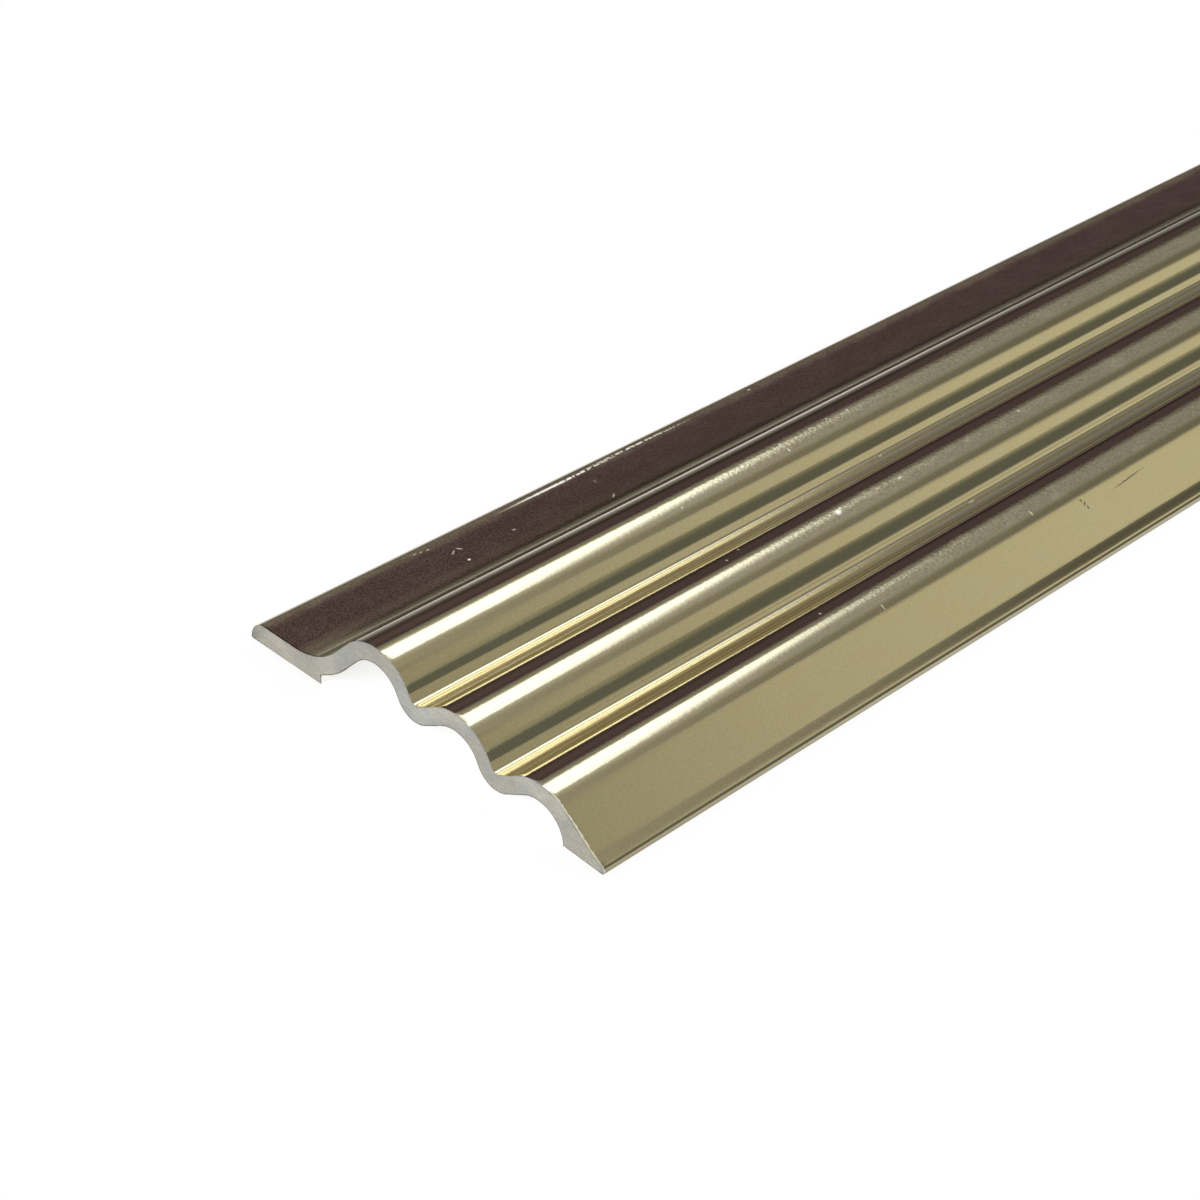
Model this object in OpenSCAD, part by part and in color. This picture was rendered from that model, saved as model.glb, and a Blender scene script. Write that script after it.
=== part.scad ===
// Floor transition strip: one extruded aluminium section, cut square at both ends.
// A flat flange lies under the higher floor covering, and three ridges step down
// to a ramp that ends in a blunt nose on the lower floor.
// X runs across the strip from the flange to the nose, Y along it, and Z is up.
// The origin is in the middle of the strip, on the floor. Sizes are in millimetres.

/* [Strip] */
// Length that the strip is sold in
strip_length = 900; // [300:10:3000]
// Wall thickness of the ridged band
wall = 1.6; // [1.2:0.1:2]

/* [Flange] */
// Thickness of the flat flange
flange_t = 1.8; // [1.7:0.1:2.5]
// Width of the flat face under the flange, from its tip to the lip
flange_w = 8.65; // [6:0.05:20]
// Height of the flat face at the flange's tip, between its two edges
tip_face_h = 0.05; // [0.05:0.05:0.8]
// Radius of the flange tip's lower edge
edge_r = 0.15; // [0.1:0.05:0.4]
// Radius in the corner between the lip and the band
lip_r = 0.3; // [0.1:0.05:0.5]

/* [Rise to the first ridge] */
// How far before the lip the flange starts to sweep up
sweep_lead = 3.3; // [2:0.1:4]
// Distance from the lip to the crest of the first ridge
first_ridge_lead = 6.45; // [6:0.05:9]
// Slope of the flank between the sweep and the first ridge, in degrees
sweep_angle = 47; // [44:1:60]

/* [Ridges] */
// Number of ridges
ridge_count = 3; // [2:1:4]
// Height of the lowest ridge, next to the ramp
last_ridge_h = 4.4; // [3.8:0.1:5]
// Step down from one ridge to the next
ridge_fall = 1.3; // [0.8:0.1:1.5]
// Radius of the ridges
ridge_r = 4.4; // [3.5:0.1:5]
// Depth of a groove below the ridge above it
groove_depth = 3; // [2.2:0.05:3.2]
// Radius at the bottom of the grooves
groove_r = 0.6; // [0.4:0.1:1.5]
// Slope of a ridge's falling flank, in degrees
falling_angle = 60; // [45:1:62]
// Slope of a groove's rising flank, in degrees
rising_angle = 29; // [26:1:40]

/* [Ramp and foot] */
// Width of the ramp, from the last crest to the nose
ramp_w = 6.95; // [6.5:0.05:15]
// Width of the flatter toe at the foot of the ramp
toe_w = 0.75; // [0.1:0.05:1.5]
// Radius of the bend from the ramp to the toe
toe_r = 2.5; // [0.5:0.5:10]
// How much flatter the toe is than a ramp without one, in degrees
toe_turn = 6; // [1:1:10]
// Radius of the blunt nose's upper edge
nose_r = 0.65; // [0.1:0.05:1]
// Height of the nose's flat face, between its two edges
nose_face_h = 0.05; // [0.05:0.05:0.5]
// Radius of the nose's lower edge
nose_edge_r = 0.1; // [0.05:0.05:0.3]
// Height of the foot's inner corner above the floor
foot_relief = 0.2; // [0:0.05:0.4]

/* [Hidden] */

// The flange tip's upper edge is rounded over the rest of its thickness
tip_r = flange_t - tip_face_h - edge_r;

// Largest turn between neighbouring points of an arc, in degrees
arc_step = 6;

// Horizontal reach of a flank at angle a that falls by h between two arcs of summed radius r
function flank_reach(r, h, a) = r * tan(a / 2) + h / tan(a);

ridge_pitch = flank_reach(ridge_r + groove_r, groove_depth, falling_angle)
    + flank_reach(ridge_r + groove_r, groove_depth - ridge_fall, rising_angle);
groove_lead = flank_reach(ridge_r + groove_r, groove_depth, falling_angle);
last_ridge = ridge_count - 1;

function ridge_x(i) = flange_w + first_ridge_lead + i * ridge_pitch;
function ridge_h(i) = last_ridge_h + (last_ridge - i) * ridge_fall;

strip_width = ridge_x(last_ridge) + ramp_w;

// Radius at which the sweep meets the flange's top and the first ridge's flank
sweep_x = flange_w - sweep_lead;
sweep_r = ((ridge_x(0) - sweep_x) * sin(sweep_angle)
    - (ridge_h(0) - ridge_r - flange_t) * cos(sweep_angle) - ridge_r) / (1 - cos(sweep_angle));

// Point on the unit circle, its angle, the same point a quarter turn further, and the points of an
// arc drawn from angle a to angle b
function direction(a) = [cos(a), sin(a)];
function angle(v) = atan2(v.y, v.x);
function quarter_turn(v) = [-v.y, v.x];
function arc(centre, r, a, b) =
    let (steps = max(1, ceil(abs(b - a) / arc_step)))
    [for (k = [0:steps]) centre + r * direction(a + (b - a) * k / steps)];

// The upper side of the strip is one tangent line run over round guides, from the flange's tip to
// the nose. Each guide is [x, z, radius], and a guide that the line passes under has its radius
// negative. The underside of the band follows the same guides, one wall thickness further in.
tip_guide = [tip_r, flange_t - tip_r, tip_r];
sweep_guide = [sweep_x, flange_t + sweep_r, -sweep_r];
function ridge_guide(i) = [ridge_x(i), ridge_h(i) - ridge_r, ridge_r];
function groove_guide(i) = [ridge_x(i) + groove_lead, ridge_h(i) - groove_depth + groove_r, -groove_r];
nose_guide = [strip_width - nose_r, nose_edge_r + nose_face_h, nose_r];

// Angle of the normal to the line between two guides
function line_normal(a, b) =
    let (gap = [b.x - a.x, b.y - a.y])
    angle(gap) + acos((a[2] - b[2]) / norm(gap));

// The toe's bend lies above the toe, at the end that is away from the nose
toe_normal = direction(line_normal(ridge_guide(last_ridge), nose_guide) + toe_turn);
toe_bend = [nose_guide.x, nose_guide.y] + (nose_r + toe_r) * toe_normal + toe_w * quarter_turn(toe_normal);
toe_guide = [toe_bend.x, toe_bend.y, -toe_r];

band_guides = [for (i = [0:last_ridge - 1]) each [ridge_guide(i), groove_guide(i)]];
guides = [tip_guide, sweep_guide, each band_guides, ridge_guide(last_ridge), toe_guide, nose_guide];
sweep_index = 1;
nose_index = len(guides) - 1;
last_ridge_index = nose_index - 2;

// Points along the guides first to last, depth below the upper side, between two end angles
function guided_line(first, last, depth, start_angle, end_angle) =
    [for (i = [first:last])
        let (from = i == first ? start_angle : line_normal(guides[i - 1], guides[i]))
        let (to = i == last ? end_angle : line_normal(guides[i], guides[i + 1]))
        each arc([guides[i].x, guides[i].y], guides[i][2] - depth, from, to)];

// The lip is where the flat underside ends below the band, with a round in its corner
lip_x = flange_w + lip_r;
underside_r = sweep_r + wall;
lip_z = flange_t + sweep_r - sqrt(pow(underside_r + lip_r, 2) - pow(lip_x - sweep_x, 2));
lip_normal = angle([sweep_x - lip_x, flange_t + sweep_r - lip_z]);

// The foot starts where the inside of the last ridge comes down to its relieved underside
foot_normal = asin((foot_relief - ridge_h(last_ridge) + ridge_r) / (ridge_r - wall));

upper_side = guided_line(0, nose_index, 0, 180, 0);
nose_edge = arc([strip_width - nose_edge_r, nose_edge_r], nose_edge_r, 0, -90);
underside = guided_line(sweep_index, last_ridge_index, wall, lip_normal, foot_normal);
lip = concat([[flange_w, 0]], arc([lip_x, lip_z], lip_r, 180, lip_normal));
tip_edge = arc([edge_r, edge_r], edge_r, -90, -180);

// The underside and the lip are drawn from left to right, and share one point. The outline runs
// clockwise, so it takes them backwards, and leaves out the last points that a shared end repeats.
function backwards(points, left_out = 0) = [for (k = [len(points) - 1 - left_out:-1:0]) points[k]];

section_points = concat(upper_side, nose_edge, backwards(underside), backwards(lip, 1), tip_edge);

module strip() {
    color("darkkhaki")
        translate([-strip_width / 2, 0, 0])
            rotate([90, 0, 0])
                linear_extrude(height = strip_length, center = true)
                    polygon(section_points);
}

strip();
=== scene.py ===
import math

import bmesh
import bpy
from mathutils import Matrix, Vector, noise
from mathutils.geometry import delaunay_2d_cdt


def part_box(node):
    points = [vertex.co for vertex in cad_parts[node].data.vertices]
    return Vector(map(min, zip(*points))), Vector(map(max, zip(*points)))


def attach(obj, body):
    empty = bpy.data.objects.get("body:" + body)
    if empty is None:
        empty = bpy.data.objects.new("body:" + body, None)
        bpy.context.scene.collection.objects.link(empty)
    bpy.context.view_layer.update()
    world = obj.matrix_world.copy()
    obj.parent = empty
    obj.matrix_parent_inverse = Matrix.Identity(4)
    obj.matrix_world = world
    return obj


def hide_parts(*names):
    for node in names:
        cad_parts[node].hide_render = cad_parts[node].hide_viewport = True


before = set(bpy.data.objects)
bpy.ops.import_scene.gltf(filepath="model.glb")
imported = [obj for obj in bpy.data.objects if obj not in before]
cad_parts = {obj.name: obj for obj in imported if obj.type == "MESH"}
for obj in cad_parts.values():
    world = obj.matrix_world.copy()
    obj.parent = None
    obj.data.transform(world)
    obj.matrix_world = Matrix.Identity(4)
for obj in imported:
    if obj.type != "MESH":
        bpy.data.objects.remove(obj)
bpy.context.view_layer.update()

MM = 0.001

# Section sizes in millimetres, the same as the part's own
WALL = 1.6
FLANGE_T, FLANGE_W = 1.8, 8.65
TIP_FACE_H, EDGE_R, LIP_R = 0.05, 0.15, 0.3
TIP_R = FLANGE_T - TIP_FACE_H - EDGE_R
SWEEP_LEAD, FIRST_RIDGE_LEAD, SWEEP_ANGLE = 3.3, 6.45, 47
RIDGE_COUNT, LAST_RIDGE_H, RIDGE_FALL, RIDGE_R = 3, 4.4, 1.3, 4.4
GROOVE_DEPTH, GROOVE_R = 3.0, 0.6
FALLING_ANGLE, RISING_ANGLE = 60, 29
RAMP_W, TOE_W, TOE_R, TOE_TURN = 6.95, 0.75, 2.5, 6
NOSE_R, NOSE_FACE_H, NOSE_EDGE_R, FOOT_RELIEF = 0.65, 0.05, 0.1, 0.2

# How finely the section is drawn: degrees along an arc, millimetres along a flat
ARC_STEP = 2.5
FLAT_STEP = 0.3
# How hollow the grooves' rising flanks are, which is too little for the part's own section
FLANK_HOLLOW = 0.05
HOLLOW_STEPS = 6


def direction(angle):
    """Unit vector at an angle in degrees."""
    return Vector((math.cos(math.radians(angle)), math.sin(math.radians(angle))))


def angle_of(vector):
    return math.degrees(math.atan2(vector.y, vector.x))


def arc(centre, radius, start, end):
    steps = max(1, math.ceil(abs(end - start) / ARC_STEP))
    angles = [start + (end - start) * k / steps for k in range(steps + 1)]
    return [centre + radius * direction(angle) for angle in angles]


def flank_reach(radius, fall, angle):
    """Horizontal reach of a flank that falls between two arcs of summed radius."""
    a = math.radians(angle)
    return radius * math.tan(a / 2) + fall / math.tan(a)


def line_normal(a, b):
    """Angle of the normal to the line that runs over two guides, each a centre and a radius."""
    gap = b[0] - a[0]
    return angle_of(gap) + math.degrees(math.acos((a[1] - b[1]) / gap.length))


def hollow(start, end):
    """Points between the ends of a rising flank, which sinks a little between them."""
    inwards = Vector((end.y - start.y, start.x - end.x)).normalized()
    shares = [k / HOLLOW_STEPS for k in range(1, HOLLOW_STEPS)]
    return [start.lerp(end, t) + FLANK_HOLLOW * math.sin(math.pi * t) * inwards for t in shares]


def section():
    """The closed outline of the strip, clockwise from the flange's tip, and its width."""
    groove_lead = flank_reach(RIDGE_R + GROOVE_R, GROOVE_DEPTH, FALLING_ANGLE)
    pitch = groove_lead + flank_reach(RIDGE_R + GROOVE_R, GROOVE_DEPTH - RIDGE_FALL, RISING_ANGLE)
    ridge_x = [FLANGE_W + FIRST_RIDGE_LEAD + i * pitch for i in range(RIDGE_COUNT)]
    ridge_h = [LAST_RIDGE_H + (RIDGE_COUNT - 1 - i) * RIDGE_FALL for i in range(RIDGE_COUNT)]
    width = ridge_x[-1] + RAMP_W
    sweep_x = FLANGE_W - SWEEP_LEAD
    slope = math.radians(SWEEP_ANGLE)
    sweep_r = (ridge_x[0] - sweep_x) * math.sin(slope) - RIDGE_R
    sweep_r -= (ridge_h[0] - RIDGE_R - FLANGE_T) * math.cos(slope)
    sweep_r /= 1 - math.cos(slope)

    guides = [
        (Vector((TIP_R, FLANGE_T - TIP_R)), TIP_R),
        (Vector((sweep_x, FLANGE_T + sweep_r)), -sweep_r),
    ]
    first_ridge = len(guides)
    for x, h in zip(ridge_x, ridge_h):
        guides.append((Vector((x, h - RIDGE_R)), RIDGE_R))
        if h > LAST_RIDGE_H + RIDGE_FALL / 2:
            guides.append((Vector((x + groove_lead, h - GROOVE_DEPTH + GROOVE_R)), -GROOVE_R))
    last_ridge = len(guides) - 1
    nose_guide = (Vector((width - NOSE_R, NOSE_EDGE_R + NOSE_FACE_H)), NOSE_R)
    toe_normal = direction(line_normal(guides[last_ridge], nose_guide) + TOE_TURN)
    toe_back = TOE_W * Vector((-toe_normal.y, toe_normal.x))
    guides.append((nose_guide[0] + (NOSE_R + TOE_R) * toe_normal + toe_back, -TOE_R))
    guides.append(nose_guide)

    def guided_line(first, last, depth, start, end):
        """Points along the guides, at a depth below the upper side, between two end angles."""
        points = []
        for i in range(first, last + 1):
            a = start if i == first else line_normal(guides[i - 1], guides[i])
            b = end if i == last else line_normal(guides[i], guides[i + 1])
            curve = arc(guides[i][0], guides[i][1] - depth, a, b)
            if i > first_ridge and depth == 0 and guides[i][1] == RIDGE_R:
                points += hollow(points[-1], curve[0])
            points += curve
        return points

    nose = len(guides) - 1
    lip_x = FLANGE_W + LIP_R
    lip_z = FLANGE_T + sweep_r - math.sqrt((sweep_r + WALL + LIP_R) ** 2 - (lip_x - sweep_x) ** 2)
    lip_normal = angle_of(Vector((sweep_x - lip_x, FLANGE_T + sweep_r - lip_z)))
    foot_normal = math.degrees(math.asin((FOOT_RELIEF - LAST_RIDGE_H + RIDGE_R) / (RIDGE_R - WALL)))

    upper_side = guided_line(0, nose, 0, 180, 0)
    nose_edge = arc(Vector((width - NOSE_EDGE_R, NOSE_EDGE_R)), NOSE_EDGE_R, 0, -90)
    underside = guided_line(1, last_ridge, WALL, lip_normal, foot_normal)
    lip = [Vector((FLANGE_W, 0))] + arc(Vector((lip_x, lip_z)), LIP_R, 180, lip_normal)[:-1]
    tip_edge = arc(Vector((EDGE_R, EDGE_R)), EDGE_R, -90, -180)
    return upper_side + nose_edge + underside[::-1] + lip[::-1] + tip_edge, width


def with_flats_divided(outline):
    """The closed outline with points added along its long straight stretches."""
    points = []
    for here, ahead in zip(outline, outline[1:] + outline[:1]):
        parts = max(1, math.ceil((ahead - here).length / FLAT_STEP))
        points += [here.lerp(ahead, k / parts) for k in range(parts)]
    return points


def inward_directions(outline):
    """The direction into the clockwise outline at each of its points."""
    found = []
    for behind, ahead in zip(outline[-1:] + outline[:-1], outline[1:] + outline[:1]):
        along = (ahead - behind).normalized()
        found.append(Vector((along.y, -along.x)))
    return found


def inside(point, outline):
    """True if the point lies inside the closed outline."""
    found = False
    for a, b in zip(outline, outline[1:] + outline[:1]):
        if (a.y > point.y) != (b.y > point.y):
            if point.x < a.x + (point.y - a.y) * (b.x - a.x) / (b.y - a.y):
                found = not found
    return found


# The strip's mesh: the section drawn along Y, with a narrow broken edge and a sawn face at each
# end. Round the sawn face runs a rim, which is dark on the underside: painted shade along the lower
# edges.
EDGE_BREAK = 0.04
EDGE_WANDER = 0.10
COARSE_WAVES, FINE_WAVES = 0.9, 3.1
NEAR_SEED, FAR_SEED, FINE_SEED = 1.7, 8.2, 5
EDGE_STATION = 0.4
STATION_GAP = 15.0
SHARP_FROM = 32
ANODISED, CUT, RIM, UNDER = 0, 1, 2, 3

# The rim's width, and the limits of what faces down: the height of the outline's inward direction,
# which is 1 where it faces straight down. The nose has no rim.
RIM_W = 0.08
RIM_FROM = -0.3
UNDER_FROM = 0.2
UPRIGHT = 0.1
NOSE_REACH, NOSE_UNDER = 0.5, 0.5

# The sawn face: a grid that is shaken a little, with faint relief
FACE_GRID = 0.3
GRID_TOP = 8
GRID_SHAKE = 0.3
GRID_SEEDS = (0.5, 9.5)
RIM_CLEARANCE = 0.5
FACE_RELIEF, RELIEF_WAVES = 0.015, 2.0
KEEP_INSIDE, SAME_POINT = 1, 1e-6


def marked_points(outline, inwards, width):
    """Which points of the outline have the dark rim of painted shade at the cut, and which are on
    the underside.
    """
    rimmed, under = [], []
    for p, q in zip(outline, inwards):
        nose = p.x >= width - NOSE_REACH and q.y <= NOSE_UNDER
        rimmed.append(q.y > RIM_FROM and not nose)
        lip = abs(q.y) < UPRIGHT and q.x < 0 and p.x < width / 2
        under.append(q.y > UNDER_FROM or lip)
    return rimmed, under


def face_grid(width, rim_outline):
    """Points spread over the sawn face, inside its rim."""
    found = []
    for i in range(1, int(width / FACE_GRID)):
        for k in range(1, int(GRID_TOP / FACE_GRID)):
            shift = Vector([noise.noise(Vector((i, k, seed))) for seed in GRID_SEEDS])
            point = Vector((i, k)) * FACE_GRID + shift * FACE_GRID * GRID_SHAKE
            if inside(point, rim_outline):
                if min((point - q).length for q in rim_outline) > FACE_GRID * RIM_CLEARANCE:
                    found.append(point)
    return found


def edge_wander(p, seed):
    """How far the broken edge wanders into the strip at a point of the outline."""
    coarse = noise.noise(Vector((p.x * COARSE_WAVES, p.y * COARSE_WAVES, seed)))
    fine = noise.noise(Vector((p.x * FINE_WAVES, p.y * FINE_WAVES, seed + FINE_SEED)))
    return EDGE_BREAK + EDGE_WANDER * max(0.0, coarse + 0.5 * fine)


def strip_mesh(length):
    outline, width = section()
    outline = with_flats_divided(outline)
    inwards = inward_directions(outline)
    face_outline = [p + EDGE_BREAK * q for p, q in zip(outline, inwards)]
    rim_outline = [p + (EDGE_BREAK + RIM_W) * q for p, q in zip(outline, inwards)]
    rimmed, under = marked_points(outline, inwards, width)
    count = len(outline)
    half = length / 2
    mesh = bmesh.new()

    def vertex(p, y):
        return mesh.verts.new(((p.x - width / 2) * MM, y * MM, p.y * MM))

    def ring(points, y_of):
        return [vertex(p, y_of(p)) for p in points]

    def join(a, b, material, other):
        chosen = rimmed if other == RIM else under
        for k in range(count):
            face = mesh.faces.new((a[k], a[(k + 1) % count], b[(k + 1) % count], b[k]))
            face.material_index = other if chosen[k] else material
            face.smooth = True

    near_face = ring(face_outline, lambda p: -half)
    near_edge = ring(outline, lambda p: -half + edge_wander(p, NEAR_SEED))
    far_edge = ring(outline, lambda p: half - edge_wander(p, FAR_SEED))
    far_face = ring(face_outline, lambda p: half)
    steps = max(2, round(length / STATION_GAP))
    stations = [-half + length * k / steps for k in range(1, steps)]
    join(near_face, near_edge, CUT, RIM)
    behind = near_edge
    for y in [-half + EDGE_STATION] + stations + [half - EDGE_STATION]:
        here = ring(outline, lambda p: y)
        join(behind, here, ANODISED, UNDER)
        behind = here
    join(behind, far_edge, ANODISED, UNDER)
    join(far_edge, far_face, CUT, RIM)

    corners = rim_outline + face_grid(width, rim_outline)
    edges = [(k, (k + 1) % count) for k in range(count)]
    cut_face = delaunay_2d_cdt(corners, edges, [], KEEP_INSIDE, SAME_POINT)
    points, triangles = cut_face[0], cut_face[2]
    for face_ring, y, sign in ((near_face, -half, 1), (far_face, half, -1)):
        rim = ring(rim_outline, lambda p: y)
        join(rim, face_ring, CUT, RIM)
        inner = []
        for p in points[count:]:
            wave = noise.noise(Vector((p.x * RELIEF_WAVES, p.y * RELIEF_WAVES, y)))
            inner.append(vertex(p, y + sign * FACE_RELIEF * (1 + wave) / 2))
        corners = rim + inner
        for triangle in triangles:
            face = mesh.faces.new([corners[k] for k in triangle])
            face.material_index = CUT
            face.smooth = True
    bmesh.ops.recalc_face_normals(mesh, faces=mesh.faces)
    return mesh


def make_strip(length):
    mesh = strip_mesh(length)
    data = bpy.data.meshes.new("transition_strip")
    mesh.to_mesh(data)
    mesh.free()
    data.set_sharp_from_angle(angle=math.radians(SHARP_FROM))
    piece = bpy.data.objects.new("transition_strip", data)
    bpy.context.scene.collection.objects.link(piece)
    return piece


# Where a mark is full and where it ends, as shares of its half width and half length
SPOT_FULL, SPOT_END = 0.35, 1.2


class Nodes:
    """Short names for making and linking the nodes of one material."""

    def __init__(self, tree):
        self.tree = tree
        tree.nodes.clear()

    def add(self, kind, inputs=None, **settings):
        node = self.tree.nodes.new(kind)
        for name, value in settings.items():
            setattr(node, name, value)
        for name, value in (inputs or {}).items():
            if isinstance(value, bpy.types.NodeSocket):
                self.tree.links.new(value, node.inputs[name])
            else:
                node.inputs[name].default_value = value
        return node

    def math(self, operation, a, b=0.0, clamp=False):
        settings = dict(operation=operation, use_clamp=clamp)
        return self.add("ShaderNodeMath", {0: a, 1: b}, **settings).outputs[0]

    def sum(self, *values):
        total = values[0]
        for value in values[1:]:
            total = self.math("ADD", total, value)
        return total

    def product(self, *values):
        total = values[0]
        for value in values[1:]:
            total = self.math("MULTIPLY", total, value)
        return total

    def most(self, *values):
        highest = values[0]
        for value in values[1:]:
            highest = self.math("MAXIMUM", highest, value)
        return highest

    def between(self, value, low, high, out_low=0.0, out_high=1.0):
        """A soft step of the value from low to high."""
        inputs = {"Value": value, 1: low, 2: high, 3: out_low, 4: out_high}
        return self.add("ShaderNodeMapRange", inputs, interpolation_type="SMOOTHSTEP").outputs[0]

    def band(self, value, places):
        """1 inside a band and softly down to 0 on both sides of it."""
        start, full, fading, end = places
        rising, falling = self.between(value, start, full), self.between(value, end, fading)
        return self.math("MULTIPLY", rising, falling)

    def moved(self, vector, scale=(1, 1, 1), place=(0, 0, 0)):
        inputs = {"Vector": vector, "Scale": scale, "Location": place}
        return self.add("ShaderNodeMapping", inputs).outputs[0]

    def noise(self, vector, scale, detail=2.0, output="Fac"):
        inputs = {"Vector": vector, "Scale": scale, "Detail": detail}
        return self.add("ShaderNodeTexNoise", inputs).outputs[output]

    def mix(self, factor, a, b, blend="MIX"):
        settings = dict(data_type="RGBA", blend_type=blend)
        return self.add("ShaderNodeMix", {"Factor": factor, 6: a, 7: b}, **settings).outputs[2]

    def white_to_camera(self):
        """1 for what the camera sees, also mirrored or through glass, and 0 for other light."""
        path = self.add("ShaderNodeLightPath").outputs
        seen = self.math("ADD", path["Is Camera Ray"], path["Is Glossy Ray"])
        return self.math("ADD", seen, path["Is Transmission Ray"], clamp=True)

    def spot(self, vector, mark):
        """One soft oval mark: its middle, its half width and half length, and its turn."""
        x, y, half_w, half_l, turn = mark
        inputs = {"Vector": vector, "Location": (x, y, 0), "Rotation": (0, 0, math.radians(turn))}
        inputs["Scale"] = (half_w, half_l, 1)
        local = self.add("ShaderNodeMapping", inputs, vector_type="TEXTURE").outputs[0]
        distance = self.add("ShaderNodeVectorMath", {0: local}, operation="LENGTH").outputs["Value"]
        return self.between(distance, SPOT_END, SPOT_FULL)

    def spots(self, vector, marks):
        """The marks of a list together. Each joins at once, which keeps the shader small."""
        together = self.spot(vector, marks[0])
        for mark in marks[1:]:
            together = self.math("MAXIMUM", together, self.spot(vector, mark))
        return together

    def surface(self, shader):
        self.add("ShaderNodeOutputMaterial", {"Surface": shader.outputs[0]})

    def metal(self, tint, metallic, roughness, height=None):
        """The material's shader, with a height in metres as its bump."""
        inputs = {"Base Color": tint, "Metallic": metallic, "Roughness": roughness}
        if height is not None:
            bump = {"Height": height, "Strength": 1.0, "Distance": 1.0}
            inputs["Normal"] = self.add("ShaderNodeBump", bump).outputs[0]
        self.surface(self.add("ShaderNodeBsdfPrincipled", inputs))


def new_material(name):
    material = bpy.data.materials.new(name)
    material.use_nodes = True
    return material, Nodes(material.node_tree)


def colour(red, green, blue):
    return red, green, blue, 1


# Marks on the upper side. Each is its place across, in millimetres from the flange's tip, its
# place along, from the near cut, its half width and half length in millimetres, and its turn in
# degrees.
# The white and pale marks are small dents whose glints are painted as pale spots, which the lamps
# light white
PAINTED_WHITE_GLINTS = [
    (24.85, 43.2, 0.34, 0.40, 20), (24.60, 43.7, 0.14, 0.14, 0), (5.35, 19.0, 0.15, 0.16, 0),
    (15.69, 46.0, 0.20, 0.10, 0), (16.55, 46.2, 0.24, 0.08, 0),
]
PAINTED_PALE_GLINTS = [
    # the flange
    (3.68, 18.7, 0.10, 0.40, 30), (3.58, 19.5, 0.10, 0.35, -50), (4.50, 25.0, 0.12, 0.26, -30),
    (6.40, 35.2, 0.10, 0.45, 40), (1.75, 16.1, 0.10, 0.20, 0), (1.85, 16.7, 0.08, 0.20, 0),
    (1.95, 17.4, 0.08, 0.25, 0), (1.63, 58.1, 0.12, 0.25, 0),
    # the first ridge
    (15.46, 52.4, 0.14, 0.14, 0), (15.60, 55.0, 0.14, 0.20, 0), (15.58, 50.0, 0.10, 0.30, 0),
    (15.72, 54.2, 0.10, 0.16, 0), (16.72, 32.5, 0.12, 0.12, 0),
    # the second ridge
    (23.07, 32.6, 0.12, 0.14, 0), (23.63, 30.6, 0.14, 0.14, 0), (24.83, 51.4, 0.18, 0.34, 20),
    (24.66, 68.5, 0.14, 0.18, 0), (24.85, 26.4, 0.14, 0.12, 0),
    # the third ridge and the ramp
    (32.62, 32.0, 0.16, 0.15, 0), (33.39, 37.4, 0.12, 0.12, 0), (35.00, 37.1, 0.30, 0.09, 0),
    (34.60, 57.5, 0.30, 0.10, 0),
    # the grooves
    (19.73, 55.2, 0.10, 0.30, 30), (28.72, 57.0, 0.10, 0.45, 0),
]
FAINT_SPECKS = [
    (3.55, 35.8, 0.30, 0.35, 0), (24.75, 54.4, 0.25, 1.0, -15), (25.00, 55.6, 0.12, 0.8, 30),
    (24.69, 61.1, 0.30, 0.8, 20), (15.9, 54.6, 0.35, 0.6, 0), (24.5, 47.5, 0.4, 2.0, 0),
    (33.2, 49.0, 0.35, 2.0, 0),
]
DARK_SPECKS = [
    (35.73, 63.3, 0.14, 0.12, 0), (36.05, 63.5, 0.30, 0.10, -60), (36.40, 63.6, 0.16, 0.14, 0),
    (36.1, 70.0, 0.06, 2.6, 3), (21.30, 46.0, 0.10, 0.30, 30),
]
# A painted highlight streak along the flange's tip
PAINTED_TIP_STREAKS = [(1.72, 33.5, 0.17, 7.5, 0), (1.62, 44.0, 0.14, 7.0, -1)]
NOSE_NICK = (39.7, 0.0, 0.35, 0.5, 0)
DULL_SWEEP = (8.2, -1.0, 2.4, 9.0, 0)

# Where things are across the strip, from the flange's tip. A band is where it starts, where it is
# full, where it begins to fade and where it ends.
GROOVE_PITCH = 8.979
GROOVE_MIDDLE = 19.5
CREST_FROM = 14.3
TOE = (38.92, 39.02, 39.6, 39.75)
GROOVED = (19.4, 19.5, 31.9, 32.0)
MISTY_CRESTS = [(15.0, 15.7, 16.4, 17.4), (24.0, 24.6, 25.4, 26.4), (32.9, 33.5, 34.4, 35.4)]
SHADE_LINE_ACROSS = (1.0, 2.0, 13.0, 15.0)

# The same, from a groove's middle and from where a crest begins
FLANK = (0.6, 0.85, 3.3, 3.6)
DARK_LINES = [(1.25, 1.5, 1.5, 1.75), (2.15, 2.35, 2.45, 2.65)]
LIGHT_LINE = (1.7, 1.95, 1.95, 2.2)
WORN_CREST = (0.0, 0.7, 1.9, 2.9)

# The foot of each falling flank is a narrow flatter facet, which mirrors a brighter part of the
# room: where the facets begin, their width, and their rise in metres
FACETS, FACET_W, FACET_RISE = (18.93, 18.93 + GROOVE_PITCH), 0.38, 1.3e-4

GOLD, GREENER_GOLD = colour(0.858, 0.764, 0.490), colour(0.846, 0.770, 0.502)
# Painted reflections in the grooves: warm gold by the cut, greyer and shaded further on, dark and
# light lines
WARM_REFLECTION_GOLD = colour(0.68, 0.48, 0.22)
GREYER_REFLECTION, FLANK_SHADE = colour(0.82, 0.82, 0.98), colour(0.42, 0.35, 0.31)
DARK_GOLD, LIGHT_GOLD = colour(0.52, 0.42, 0.22), colour(0.97, 0.90, 0.66)
BLACK, DIRT_AND_SHADE_LINE, GLINT_AND_EDGE_PALE = colour(0, 0, 0), colour(0.10, 0.085, 0.055), colour(0.92, 0.91, 0.87)

# How far the marks' outlines are torn, in millimetres
TEAR = 0.16


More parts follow.
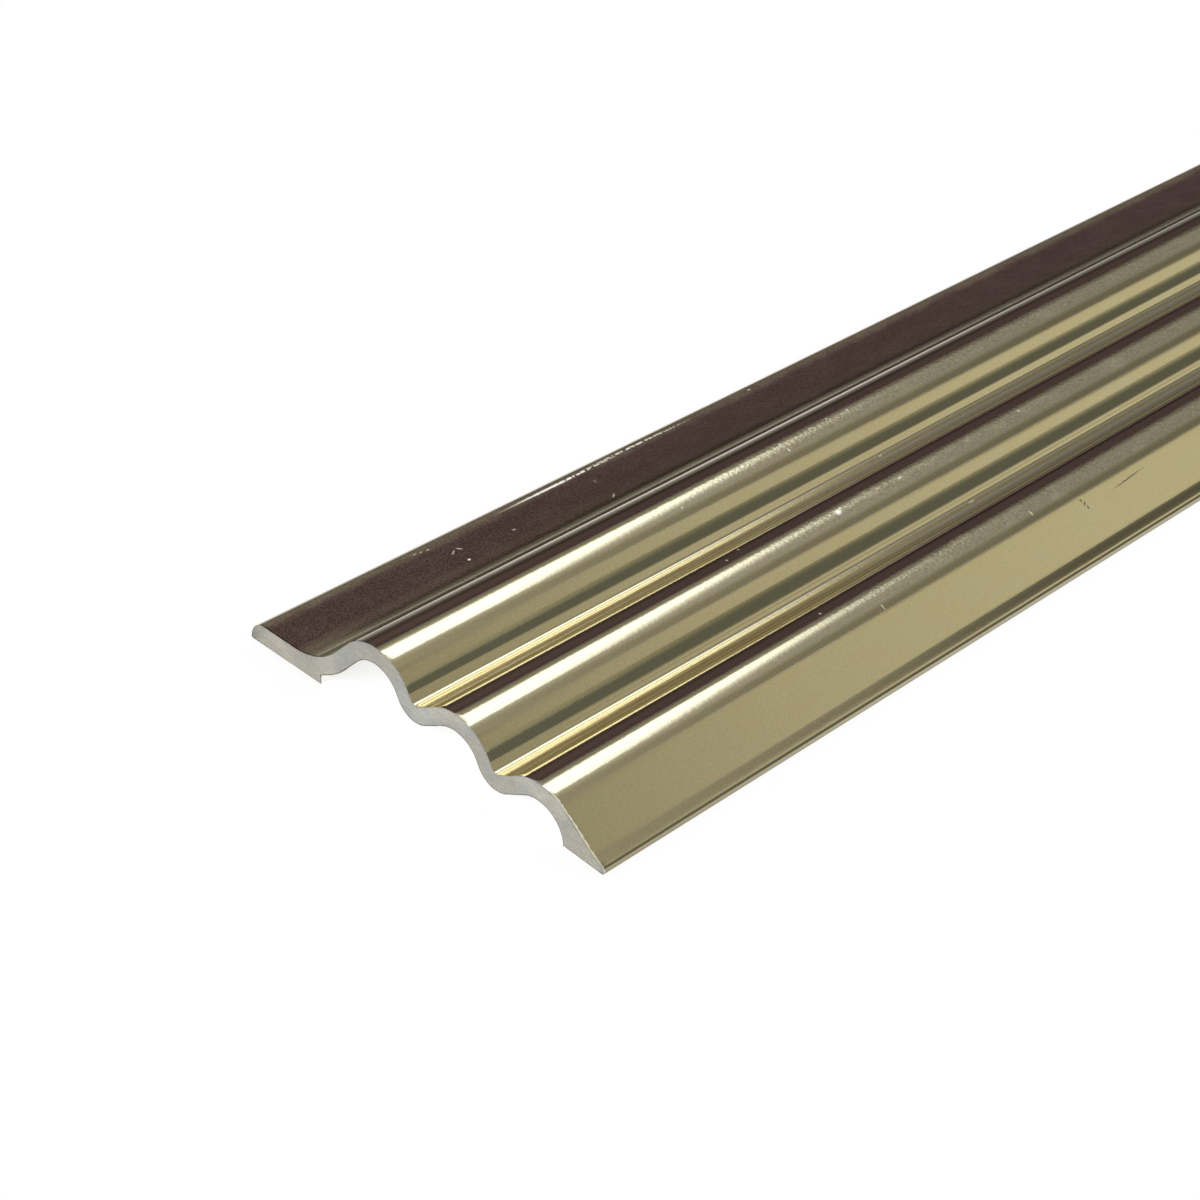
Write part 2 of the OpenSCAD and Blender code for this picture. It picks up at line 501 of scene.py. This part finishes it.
class UpperSide:
    """Places on the gold side in millimetres, and the noises that its tints and marks share."""

    def __init__(self, n, length, width):
        place = n.add("ShaderNodeTexCoord").outputs["Object"]
        self.mm = n.moved(place, (1000, 1000, 1000), (width / 2, length / 2, 0))
        self.flat = n.moved(self.mm, (1, 1, 0))
        at = n.add("ShaderNodeSeparateXYZ", {0: self.mm}).outputs
        self.across, self.along = at[0], at[1]
        wobble = {0: n.noise(self.mm, 4.0, 2.0, "Color"), 1: (TEAR, TEAR, 0), 2: self.flat}
        uneven = n.add("ShaderNodeVectorMath", wobble, operation="MULTIPLY_ADD").outputs[0]
        self.uneven = n.moved(uneven, (1, 1, 0), (-TEAR / 2, -TEAR / 2, 0))
        self.fine = n.noise(self.mm, 6.5, 1.5)
        self.sparkle = n.noise(self.mm, 3.2, 2.0)
        self.blotches = n.noise(n.moved(self.mm, (0.5, 0.22, 0.5)), 1.0, 4.0)
        self.flange = n.between(self.across, 9.0, 7.5)


def gold_tint(n, at):
    """The gold itself: mottled, cloudy and dusty on the flange, and painted shade on the far toe.
    """
    tint = n.mix(n.between(at.blotches, 0.35, 0.65), GOLD, GREENER_GOLD)
    tint = n.mix(1.0, tint, n.between(at.fine, 0.3, 0.7, 0.955, 1.045), "MULTIPLY")
    clouds = n.between(at.blotches, 0.32, 0.68, 0.93, 1.07)
    dusty = n.product(clouds, n.between(at.fine, 0.3, 0.7, 0.90, 1.12))
    tint = n.mix(at.flange, tint, n.mix(1.0, tint, dusty, "MULTIPLY"))
    # Painted shade: the toe darkens towards black further along the strip
    toe = n.product(n.band(at.across, TOE), n.between(at.along, 22, 60, 0.0, 0.38))
    return n.mix(toe, tint, BLACK)


def grooved_tint(n, at, tint):
    """The tint with the rising flanks' painted reflections and shade: warmer by the cut, greyer and
    darker further on, and fine dark and light lines.
    """
    beside = n.math("MODULO", n.math("SUBTRACT", at.across, GROOVE_MIDDLE), GROOVE_PITCH)
    grooved = n.band(at.across, GROOVED)
    lined = n.product(grooved, n.between(at.along, 75, 30, 0.25, 1.0))
    dark_line = n.most(*(n.band(beside, line) for line in DARK_LINES))
    light_line = n.band(beside, LIGHT_LINE)
    flank = n.product(grooved, n.band(beside, FLANK))
    warm_reflection = n.between(n.noise(n.moved(at.mm, (1.7, 0.25, 1.7)), 1.0, 4.0), 0.45, 0.60, 0.3, 1.0)
    warm_reflection = n.product(warm_reflection, n.between(at.along, 60, 25, 0.0, 0.85))
    warm_reflection = n.product(flank, warm_reflection, n.between(beside, 3.0, 2.7))
    # Painted warm reflection near the cut, then painted grey reflection and shade further along
    tint = n.mix(warm_reflection, tint, WARM_REFLECTION_GOLD)
    tint = n.mix(n.product(flank, n.between(at.along, 28, 60, 0.0, 0.95)), tint, GREYER_REFLECTION)
    upper = n.product(n.between(beside, 1.7, 2.6), n.between(at.along, 32, 55, 0.0, 0.9))
    tint = n.mix(n.product(flank, upper), tint, FLANK_SHADE)
    tint = n.mix(n.product(dark_line, lined, 0.55), tint, DARK_GOLD)
    return n.mix(n.product(light_line, lined, 0.6), tint, LIGHT_GOLD)


def worn_crests(n, at):
    """Where feet wore the crests, and the grain that shows there."""
    past_crest = n.math("MODULO", n.math("SUBTRACT", at.across, CREST_FROM), GROOVE_PITCH)
    worn = n.product(n.band(past_crest, WORN_CREST), n.between(at.along, 20, 50))
    return worn, n.noise(n.moved(at.mm, (1, 0.7, 1)), 4.2, 3.0)


def gold_haze(n, at):
    """Dull places: the flange's tip up to a ragged border, the sweep by the cut, crests, dust."""
    ragged = n.product(n.noise(n.moved(at.mm, (1, 0.35, 1)), 1.2, 4.0), 1.2)
    tip = n.between(n.math("SUBTRACT", at.across, ragged), 2.0, 0.8)
    sweep = n.spot(at.flat, DULL_SWEEP)
    near_flange = n.product(at.flange, n.between(at.along, 45, 5, 0.4, 1.0))
    dust = n.product(near_flange, n.between(at.fine, 0.3, 0.75))
    mist = n.between(n.noise(n.moved(at.mm, (0.7, 0.25, 0.7)), 1.0, 4.0), 0.5, 0.72)
    crest = n.most(*(n.band(at.across, crest) for crest in MISTY_CRESTS))
    crest = n.product(crest, n.between(at.along, 28, 48), n.sum(mist, 0.35))
    shares = (tip, 0.08), (sweep, 0.085), (crest, 0.06), (dust, 0.03)
    return n.sum(*(n.product(place, share) for place, share in shares))


def flange_streak(n, at):
    """A painted highlight streak on the flange's tip, whole at first and then in dots."""
    streak = n.spots(at.uneven, PAINTED_TIP_STREAKS)
    dots = n.between(n.noise(at.flat, 2.4, 1.0), 0.40, 0.50)
    dots = n.product(dots, n.between(at.along, 52, 38, 0.3, 1.0))
    return n.product(streak, n.most(n.between(at.along, 33.5, 32.5), dots))


def cut_edge(n, at):
    """A dark line of painted shade along the flange's cut edge, a nick in the nose, and a pale
    ragged line on the ramp.
    """
    rag = n.noise(at.mm, 2.6, 3.0)
    near_cut = n.between(n.math("SUBTRACT", at.along, n.product(rag, 0.22)), 0.12, 0.04)
    shade_line = n.product(near_cut, n.band(at.across, SHADE_LINE_ACROSS))
    nick = n.product(n.spot(at.uneven, NOSE_NICK), 0.5)
    pale_ramp_edge = n.between(n.math("SUBTRACT", at.along, n.product(rag, 0.34)), 0.06, 0.0)
    pale_ramp_edge = n.product(pale_ramp_edge, n.between(at.across, 33.5, 35.0), 0.5)
    return n.most(shade_line, nick), pale_ramp_edge


def gold_anodised(length, width):
    """Bright gold anodising: tinted metal with mottle, die lines, dull places and marks, and
    painted light and shade.
    """
    material, n = new_material("gold_anodised")
    at = UpperSide(n, length, width)
    tint = grooved_tint(n, at, gold_tint(n, at))

    die_lines = n.noise(n.moved(at.mm, (1, 0.004, 1)), 3.3)
    satin = n.noise(at.mm, 2.3)
    worn, grain = worn_crests(n, at)
    tint = n.mix(worn, tint, n.mix(1.0, tint, n.between(grain, 0.3, 0.7, 0.87, 1.13), "MULTIPLY"))
    facets = n.sum(*(n.between(at.across, x, x + FACET_W, 0.0, FACET_RISE) for x in FACETS))
    height = n.sum(
        n.product(satin, 3.0e-6), n.product(die_lines, 2.5e-6),
        n.product(grain, worn, 1.0e-5), facets,
    )
    cloud = n.noise(at.mm, 0.15, 3.0)
    roughness = n.sum(n.product(die_lines, 0.03), n.product(cloud, 0.03), 0.065)

    haze = gold_haze(n, at)
    streak = flange_streak(n, at)
    dark_edge, pale_ramp_edge = cut_edge(n, at)
    pale = n.product(n.spots(at.uneven, PAINTED_PALE_GLINTS), 0.45)
    pale_glints_and_edge = n.most(n.spots(at.uneven, PAINTED_WHITE_GLINTS), pale, n.most(streak, pale_ramp_edge))
    faint = n.product(n.spots(at.uneven, FAINT_SPECKS), n.between(at.sparkle, 0.42, 0.6))
    dark = n.most(n.spots(at.uneven, DARK_SPECKS), dark_edge)
    # Dark marks, and painted shade along the flange's cut edge
    tint = n.mix(n.product(dark, 0.75), tint, DIRT_AND_SHADE_LINE)
    # Painted glints: the white and pale marks and the tip's streak turn pale and dull, and so does
    # the pale line at the ramp's cut edge
    tint = n.mix(pale_glints_and_edge, tint, GLINT_AND_EDGE_PALE)
    dull = n.sum(haze, pale_glints_and_edge, n.product(faint, 0.16))
    n.metal(tint, n.math("SUBTRACT", 1.0, dull, clamp=True), roughness, height)
    return material


def plain_place(n):
    """The object's own place, in millimetres."""
    return n.moved(n.add("ShaderNodeTexCoord").outputs["Object"], (1000, 1000, 1000))


def underside_metal():
    """The hidden side, painted paler than the gold side as painted light in its shaded hollows,
    with lines from the die.
    """
    material, n = new_material("underside_metal")
    mm = plain_place(n)
    die_lines = n.noise(n.moved(mm, (1, 0.004, 1)), 3.3, 3.0)
    cloud = n.noise(mm, 0.2, 3.0)
    tint = n.mix(cloud, colour(0.97, 0.955, 0.90), colour(0.94, 0.925, 0.87))
    roughness = n.sum(n.product(die_lines, 0.12), n.product(cloud, 0.08), 0.22)
    n.metal(tint, 1.0, roughness, n.product(die_lines, 1.0e-5))
    return material


SAWN_METALLIC, SAWN_ROUGHNESS = 0.55, 0.6


def cut_metal():
    """Bare metal as the saw leaves it: pale and dull, with warm patches, streaks and grain."""
    material, n = new_material("cut_metal")
    mm = plain_place(n)
    patches = n.between(n.noise(mm, 0.35, 3.0), 0.35, 0.65)
    tint = n.mix(patches, colour(0.405, 0.385, 0.325), colour(0.365, 0.368, 0.340))
    streaks = n.noise(n.moved(mm, (0.5, 1, 2.4)), 1.6, 4.0)
    tint = n.mix(1.0, tint, n.between(streaks, 0.3, 0.7, 0.93, 1.07), "MULTIPLY")
    grain = n.noise(mm, 5.5, 2.0)
    tint = n.mix(1.0, tint, n.between(grain, 0.3, 0.7, 0.90, 1.10), "MULTIPLY")
    tint = n.mix(1.0, tint, n.between(n.noise(mm, 0.22), 0.42, 0.62, 0.96, 1.16), "MULTIPLY")
    height = n.sum(n.product(grain, 1.2e-5), n.product(streaks, 2.0e-5))
    n.metal(tint, SAWN_METALLIC, SAWN_ROUGHNESS, height)
    return material


def rim_shade():
    """The lower rim of the sawn face, dark and uneven: painted shade along the lower edges."""
    material, n = new_material("rim_shade")
    uneven = n.noise(plain_place(n), 3.0, 3.0)
    tint = n.mix(n.between(uneven, 0.35, 0.65), colour(0.13, 0.125, 0.11), colour(0.28, 0.27, 0.24))
    n.metal(tint, SAWN_METALLIC, SAWN_ROUGHNESS)
    return material


strip_low, strip_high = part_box("strip")
strip_size = (strip_high - strip_low) / MM
strip = make_strip(strip_size.y)
gold = gold_anodised(strip_size.y, strip_size.x)
for material in (gold, cut_metal(), rim_shade(), underside_metal()):
    strip.data.materials.append(material)
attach(strip, "root")
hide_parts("strip")

# Camera: a 78 mm lens on a 36 mm sensor, beside the near cut end
CAMERA_PLACE = Vector((0.117246, -0.555868, 0.122304))
CAMERA_AZIMUTH, CAMERA_ELEVATION, CAMERA_ROLL = 43.065, 34.354, 2.934
LENS, SENSOR = 78.0, 36.0


def make_camera():
    a, e = math.radians(CAMERA_AZIMUTH), math.radians(CAMERA_ELEVATION)
    forward = Vector((-math.sin(a) * math.cos(e), math.cos(a) * math.cos(e), -math.sin(e)))
    data = bpy.data.cameras.new("camera")
    data.lens, data.sensor_width = LENS, SENSOR
    data.clip_start, data.clip_end = 0.01, 50
    camera = bpy.data.objects.new("camera", data)
    roll = Matrix.Rotation(math.radians(CAMERA_ROLL), 3, "Z")
    turn = forward.to_track_quat("-Z", "Y").to_matrix() @ roll
    camera.matrix_world = Matrix.Translation(CAMERA_PLACE) @ turn.to_4x4()
    bpy.context.scene.collection.objects.link(camera)
    bpy.context.scene.camera = camera


make_camera()

# The studio: a white floor under a soft sun, and cards that only polished metal sees.
# A card is a curved strip of a tent round the object. Its place is the angle round the strip's
# length, from 0 at the nose's side over 90 overhead to 180 at the flange's side. It has one
# brightness beside the cut ends, one midway and one further along, and blends into its neighbours.
# How far along a point of the tent is, is given by its slant, in degrees to either side.
TENT_R = 3.0
TENT_MIDDLE = -0.42
TENT_END = 80
ANGLES_PER_DEGREE = 2
NEAR_SLANT, MIDDLE_SLANT, FAR_SLANT = 32, 40, 48
GREY, PALE, COOL, OLIVE = (1, 1, 0.92), (1, 0.99, 1.03), (0.93, 1, 1.12), (0.97, 1.03, 0.95)
WARM, CREAM, SAND = (1, 0.945, 0.72), (1, 0.955, 0.80), (1, 0.98, 0.84)
MAUVE, PLUM, DUSK, BROWN = (1, 0.96, 0.95), (1, 0.64, 0.92), (1, 0.74, 0.88), (1, 0.74, 0.80)
CARDS = [
    # from, to, tint, brightness near, midway and far
    (-4, 28, OLIVE, 0.125, 0.115, 0.115),
    (31, 32, GREY, 0.30, 0.13, 0.16),
    (35.5, 37.5, WARM, 0.34, 0.20, 0.28),
    (41, 57, CREAM, 0.315, 0.44, 0.53),
    (60, 63, WARM, 0.28, 0.46, 0.51),
    (66, 67, MAUVE, 0.27, 0.42, 0.26),
    (70, 79, SAND, 0.33, 0.21, 0.15),
    (90, 120, PALE, 0.45, 0.33, 0.23),
    (127, 129, GREY, 0.22, 0.20, 0.13),
    (136, 139, PLUM, 0.066, 0.068, 0.068),
    (144, 154, DUSK, 0.090, 0.066, 0.066),
    (164, 168, BROWN, 0.055, 0.035, 0.04),
    (173, 184, GREY, 0.09, 0.12, 0.10),
]

# The bright window: its sides, how far it narrows, how far along it reaches, and how it dims
# straight overhead, where the flange mirrors it into a view from above
WINDOW_FROM, WINDOW_TO, WINDOW_EDGE = 91, 121, 1.5
WINDOW_TAPER, WINDOW_TAPER_SLANTS = 2.0, (NEAR_SLANT, NEAR_SLANT + 4)
WINDOW_GLOW = 1.35
OVERHEAD_DIM, OVERHEAD_SLANTS = 0.45, (18, 28)
WINDOW_NEAR, WINDOW_FAR, WINDOW_SLOPE, WINDOW_FADE = 34.8, 41, 3.4, 2.8


def smooth(low, high, value):
    t = min(1.0, max(0.0, (value - low) / (high - low)))
    return t * t * (3 - 2 * t)


def window_share(angle, slant):
    """How much of the bright window shows: its far side slants, so it narrows along the strip."""
    reach = min(WINDOW_NEAR + (angle - WINDOW_FROM) / WINDOW_SLOPE, WINDOW_FAR)
    left = WINDOW_TO - WINDOW_TAPER * (1 - smooth(*WINDOW_TAPER_SLANTS, slant))
    across = smooth(WINDOW_FROM - WINDOW_EDGE, WINDOW_FROM + WINDOW_EDGE, angle)
    across *= 1 - smooth(left - WINDOW_EDGE, left + WINDOW_EDGE, angle)
    return across * (1 - smooth(reach - WINDOW_FADE, reach + WINDOW_FADE, slant))


def card_colour(card, slant):
    _, _, tint, near, middle, far = card
    if slant < MIDDLE_SLANT:
        share = max(0.0, (slant - NEAR_SLANT) / (MIDDLE_SLANT - NEAR_SLANT))
        return Vector(tint) * (near + (middle - near) * share)
    share = min(1.0, (slant - MIDDLE_SLANT) / (FAR_SLANT - MIDDLE_SLANT))
    return Vector(tint) * (middle + (far - middle) * share)


def tent_colour(angle, slant):
    """Colour of the tent at an angle round the strip and a slant along it, both in degrees."""
    low = max((card for card in CARDS if card[0] <= angle), default=CARDS[0])
    high = min((card for card in CARDS if card[1] >= angle), default=CARDS[-1])
    blend = smooth(low[1], high[0], angle) if low[1] < high[0] else 0.0
    found = card_colour(low, slant).lerp(card_colour(high, slant), blend)
    glow = WINDOW_GLOW * (OVERHEAD_DIM + (1 - OVERHEAD_DIM) * smooth(*OVERHEAD_SLANTS, slant))
    found += Vector(COOL) * glow * window_share(angle, slant)
    return (*found, 1.0)


def add_mesh(name, vertices, faces):
    data = bpy.data.meshes.new(name)
    data.from_pydata(vertices, [], faces)
    item = bpy.data.objects.new(name, data)
    bpy.context.scene.collection.objects.link(item)
    return item


def glow_material():
    material, n = new_material("glow")
    glow = n.add("ShaderNodeAttribute", attribute_name="glow").outputs["Color"]
    n.surface(n.add("ShaderNodeEmission", {"Color": glow}))
    return material


GLOW = glow_material()


def add_card(name, vertices, colours, row):
    """A card of rows of vertices, each with its own colour, that only reflections show."""
    faces = []
    for start in range(0, len(vertices) - row, row):
        faces += [(i, i + 1, i + 1 + row, i + row) for i in range(start, start + row - 1)]
    card = add_mesh(name, vertices, faces)
    glow = card.data.color_attributes.new("glow", "FLOAT_COLOR", "POINT")
    for item, found in zip(glow.data, colours):
        item.color = found
    card.data.materials.append(GLOW)
    card.visible_camera = card.visible_diffuse = False
    card.visible_shadow = card.visible_transmission = False


def make_tent():
    low, high = CARDS[0][0], CARDS[-1][1]
    steps = ANGLES_PER_DEGREE * (high - low)
    angles = [low + k / ANGLES_PER_DEGREE for k in range(steps + 1)]
    vertices, colours = [], []
    for slant in range(-TENT_END, TENT_END + 1):
        y = TENT_MIDDLE + TENT_R * math.tan(math.radians(slant))
        for angle in angles:
            place = TENT_R * direction(angle)
            vertices.append((place.x, y, place.y))
            colours.append(tent_colour(angle, abs(slant)))
    add_card("tent", vertices, colours, len(angles))


# Grey cards that lie on the floor beside the strip, and keep its polished edges apart from the
# white. Each has one colour beside the near cut, one further along, and one beyond that. The list
# says how bright they are at a distance from the strip, in millimetres. The camera sees a place of
# a card mirrored further along the strip, the further out the place is.
LOW_CARD_Z = 0.00005
LOW_CARD_START = 0.0195
LOW_CARD_ROWS = [-2.0] + [-0.46 + 0.01 * k for k in range(40)] + [2.0]
NEAR_CUT_Y = -0.45
SEEN_LEAD = 0.62
NEAR_REACH, NEAR_SPREAD = 0.035, 0.25
NOSE_SIDE = ((0.43, 0.42, 0.43), (0.52, 0.52, 0.56), (0.52, 0.52, 0.56))
# Close to the strip the card dims: a painted shadow of the strip on the floor, which the nose
# mirrors
NOSE_SIDE_LEVELS = [(0, 0.8), (0.5, 0.85), (1.0, 1), (20, 1), (1500, 1)]
FLANGE_SIDE = ((0.57, 0.54, 0.58), (0.80, 0.76, 0.84), (0.48, 0.45, 0.49))
# Within about 1.5 mm the card is dark: a painted shadow of the strip on the floor, which the
# flange's tip mirrors
FLANGE_SIDE_LEVELS = [
    (0, 0.1), (1.0, 0.1), (1.5, 0.5), (2.5, 1), (6, 1), (12, 0.95), (18, 0.6), (25, 0.42),
    (60, 0.4), (1500, 0.4),
]
FURTHER_FROM, FURTHER_TO, FURTHER_SPREAD = 0.060, 0.115, 8


def make_low_card(name, sign, colours_along, levels):
    near, along, further = (Vector(found) for found in colours_along)
    vertices, colours = [], []
    for y in LOW_CARD_ROWS:
        for reach, level in levels:
            out = reach * MM
            seen = y - NEAR_CUT_Y - SEEN_LEAD * out
            found = near.lerp(along, smooth(0, 1, seen / (NEAR_REACH + NEAR_SPREAD * out)))
            beyond = smooth(FURTHER_FROM, FURTHER_TO, seen / (1 + FURTHER_SPREAD * out))
            found = found.lerp(further, beyond)
            vertices.append((sign * (LOW_CARD_START + out), y, LOW_CARD_Z))
            colours.append((*(found * level), 1.0))
    add_card(name, vertices, colours, len(levels))


# The floor looks white for the most part by itself, and for the rest it shows the strip's shadow
FLOOR_SIZE, FLOOR_Z = 12.0, -0.00002
FLOOR_COLOUR = colour(0.97, 0.97, 0.97)
FLOOR_WHITE = 0.7


def make_floor():
    signs = [(-1, -1), (1, -1), (1, 1), (-1, 1)]
    corners = [(x * FLOOR_SIZE, y * FLOOR_SIZE, FLOOR_Z) for x, y in signs]
    floor = add_mesh("floor", corners, [(0, 1, 2, 3)])
    material, n = new_material("floor")
    shader = n.add("ShaderNodeBsdfDiffuse", {"Color": FLOOR_COLOUR})
    white = n.add("ShaderNodeEmission", {"Color": colour(1, 1, 1), "Strength": 1.0})
    share = n.product(n.white_to_camera(), FLOOR_WHITE)
    n.surface(n.add("ShaderNodeMixShader", {0: share, 1: shader.outputs[0], 2: white.outputs[0]}))
    floor.data.materials.append(material)


WORLD_FILL = 0.55


def make_world():
    """White to the camera and in reflections, and a soft fill light for everything else."""
    world = bpy.data.worlds.new("studio")
    world.use_nodes = True
    n = Nodes(world.node_tree)
    strength = n.sum(n.product(n.white_to_camera(), 1.0 - WORLD_FILL), WORLD_FILL)
    background = n.add("ShaderNodeBackground", {"Color": colour(1, 1, 1), "Strength": strength})
    n.add("ShaderNodeOutputWorld", {"Surface": background.outputs[0]})
    bpy.context.scene.world = world


SUN_FROM, SUN_STRENGTH, SUN_WIDTH = Vector((0.25, -1.0, 0.7)), 2.8, 30


def make_sun():
    data = bpy.data.lights.new("sun", "SUN")
    data.energy = SUN_STRENGTH
    data.angle = math.radians(SUN_WIDTH)
    sun = bpy.data.objects.new("sun", data)
    sun.rotation_euler = (-SUN_FROM).to_track_quat("-Z", "Y").to_euler()
    sun.visible_glossy = False
    bpy.context.scene.collection.objects.link(sun)


make_tent()
make_low_card("card_nose_side", 1, NOSE_SIDE, NOSE_SIDE_LEVELS)
make_low_card("card_flange_side", -1, FLANGE_SIDE, FLANGE_SIDE_LEVELS)
make_floor()
make_world()
make_sun()
bpy.context.scene.view_settings.view_transform = "Standard"
